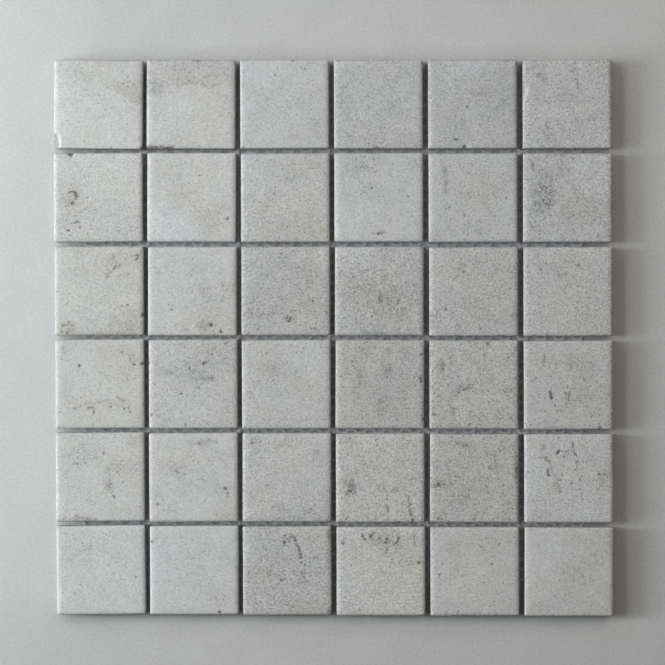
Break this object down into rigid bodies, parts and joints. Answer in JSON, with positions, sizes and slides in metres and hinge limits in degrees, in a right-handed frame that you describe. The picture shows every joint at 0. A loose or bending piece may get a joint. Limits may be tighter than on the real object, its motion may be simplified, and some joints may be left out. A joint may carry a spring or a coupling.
{
  "type": "mosaic tile sheet",
  "caption": "Square sheet of cement-look porcelain mosaic tiles with softly rounded face edges and open joints, held in rows on an open net backing.",
  "frame": {"origin": "under the middle of the sheet, on the surface that the net lies on", "axes": "+X to the right along a row of tiles, +Y up the columns, +Z out of the glazed faces"},
  "size_m": [0.303, 0.303, 0.0066],
  "materials": {
    "tile": "matt cement-look glaze with fine dark speckle and soft clouds",
    "net": "white knitted polyester net, resin stiffened"
  },
  "bodies": {
    "root": {"net_lower_threads": "net", "net_upper_threads": "net", "tile_row1_col1": "tile", "tile_row1_col2": "tile", "tile_row1_col3": "tile", "tile_row1_col4": "tile", "tile_row1_col5": "tile", "tile_row1_col6": "tile", "tile_row2_col1": "tile", "tile_row2_col2": "tile", "tile_row2_col3": "tile", "tile_row2_col4": "tile", "tile_row2_col5": "tile", "tile_row2_col6": "tile", "tile_row3_col1": "tile", "tile_row3_col2": "tile", "tile_row3_col3": "tile", "tile_row3_col4": "tile", "tile_row3_col5": "tile", "tile_row3_col6": "tile", "tile_row4_col1": "tile", "tile_row4_col2": "tile", "tile_row4_col3": "tile", "tile_row4_col4": "tile", "tile_row4_col5": "tile", "tile_row4_col6": "tile", "tile_row5_col1": "tile", "tile_row5_col2": "tile", "tile_row5_col3": "tile", "tile_row5_col4": "tile", "tile_row5_col5": "tile", "tile_row5_col6": "tile", "tile_row6_col1": "tile", "tile_row6_col2": "tile", "tile_row6_col3": "tile", "tile_row6_col4": "tile", "tile_row6_col5": "tile", "tile_row6_col6": "tile"}
  },
  "joints": []
}
